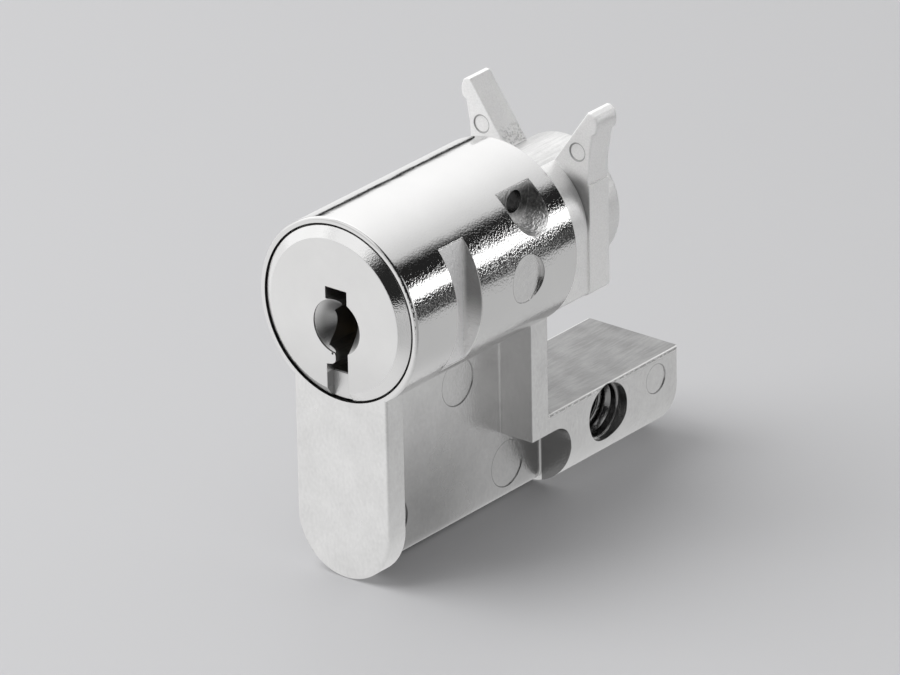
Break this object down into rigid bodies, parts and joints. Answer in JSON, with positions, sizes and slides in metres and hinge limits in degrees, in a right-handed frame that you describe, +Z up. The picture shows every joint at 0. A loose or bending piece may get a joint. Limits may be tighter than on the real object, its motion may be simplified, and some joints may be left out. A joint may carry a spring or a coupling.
{
  "type": "half cylinder lock",
  "caption": "Half profile cylinder lock: key-turned plug with sprung wafer tumblers in a plated casing, a forked driver at the rear and a threaded fixing hole in the foot.",
  "frame": {"origin": "centre of the threaded hole for the fixing screw, on the middle plane of the web", "axes": "+X to the right seen from the key side and along the fixing screw's hole, +Y from the key side to the rear along the axis that the key turns about, +Z up from the web to the round head"},
  "size_m": [0.017, 0.0406, 0.0355],
  "materials": {
    "plated_casting": "nickel-plated zinc die-casting: polished head, satin web",
    "plated_plug": "nickel-plated zinc, finely blasted face with a polished bevel",
    "plated_driver": "nickel-plated zinc die-casting, satin as cast",
    "spring_steel": "dark phosphated spring steel",
    "pin_steel": "ground steel",
    "tumbler_brass": "stamped brass sheet",
    "spring_wire": "drawn stainless wire"
  },
  "bodies": {
    "casing": {"housing": "plated_casting", "plug_retaining_pin": "pin_steel"},
    "rotor": {"plug": "plated_plug", "driver": "plated_driver", "driver_retaining_ring": "spring_steel", "tumbler_spring_1": "spring_wire", "tumbler_spring_2": "spring_wire", "tumbler_spring_3": "spring_wire", "tumbler_spring_4": "spring_wire", "tumbler_spring_5": "spring_wire", "tumbler_spring_6": "spring_wire", "tumbler_spring_7": "spring_wire", "tumbler_spring_8": "spring_wire"},
    "tumbler_1": {"tumbler_1": "tumbler_brass"},
    "tumbler_2": {"tumbler_2": "tumbler_brass"},
    "tumbler_3": {"tumbler_3": "tumbler_brass"},
    "tumbler_4": {"tumbler_4": "tumbler_brass"},
    "tumbler_5": {"tumbler_5": "tumbler_brass"},
    "tumbler_6": {"tumbler_6": "tumbler_brass"},
    "tumbler_7": {"tumbler_7": "tumbler_brass"},
    "tumbler_8": {"tumbler_8": "tumbler_brass"}
  },
  "joints": [
    {"name": "plug_turn", "type": "hinge", "parent": "casing", "child": "rotor", "pos_m": [0, -0.02, 0.0188], "axis": [0, 1, 0], "range_deg": [-90, 90]},
    {"name": "tumbler_1_travel", "type": "slide", "parent": "rotor", "child": "tumbler_1", "axis": [0, 0, -1], "range_m": [0, 0.0008], "stiffness_N_per_m": 30, "springref_m": -0.002, "deforming": ["tumbler_spring_1"]},
    {"name": "tumbler_2_travel", "type": "slide", "parent": "rotor", "child": "tumbler_2", "axis": [0, 0, 1], "range_m": [0, 0.0008], "stiffness_N_per_m": 30, "springref_m": -0.002, "deforming": ["tumbler_spring_2"]},
    {"name": "tumbler_3_travel", "type": "slide", "parent": "rotor", "child": "tumbler_3", "axis": [0, 0, -1], "range_m": [0, 0.0008], "stiffness_N_per_m": 30, "springref_m": -0.002, "deforming": ["tumbler_spring_3"]},
    {"name": "tumbler_4_travel", "type": "slide", "parent": "rotor", "child": "tumbler_4", "axis": [0, 0, 1], "range_m": [0, 0.0008], "stiffness_N_per_m": 30, "springref_m": -0.002, "deforming": ["tumbler_spring_4"]},
    {"name": "tumbler_5_travel", "type": "slide", "parent": "rotor", "child": "tumbler_5", "axis": [0, 0, -1], "range_m": [0, 0.0008], "stiffness_N_per_m": 30, "springref_m": -0.002, "deforming": ["tumbler_spring_5"]},
    {"name": "tumbler_6_travel", "type": "slide", "parent": "rotor", "child": "tumbler_6", "axis": [0, 0, 1], "range_m": [0, 0.0008], "stiffness_N_per_m": 30, "springref_m": -0.002, "deforming": ["tumbler_spring_6"]},
    {"name": "tumbler_7_travel", "type": "slide", "parent": "rotor", "child": "tumbler_7", "axis": [0, 0, -1], "range_m": [0, 0.0008], "stiffness_N_per_m": 30, "springref_m": -0.002, "deforming": ["tumbler_spring_7"]},
    {"name": "tumbler_8_travel", "type": "slide", "parent": "rotor", "child": "tumbler_8", "axis": [0, 0, 1], "range_m": [0, 0.0008], "stiffness_N_per_m": 30, "springref_m": -0.002, "deforming": ["tumbler_spring_8"]}
  ]
}
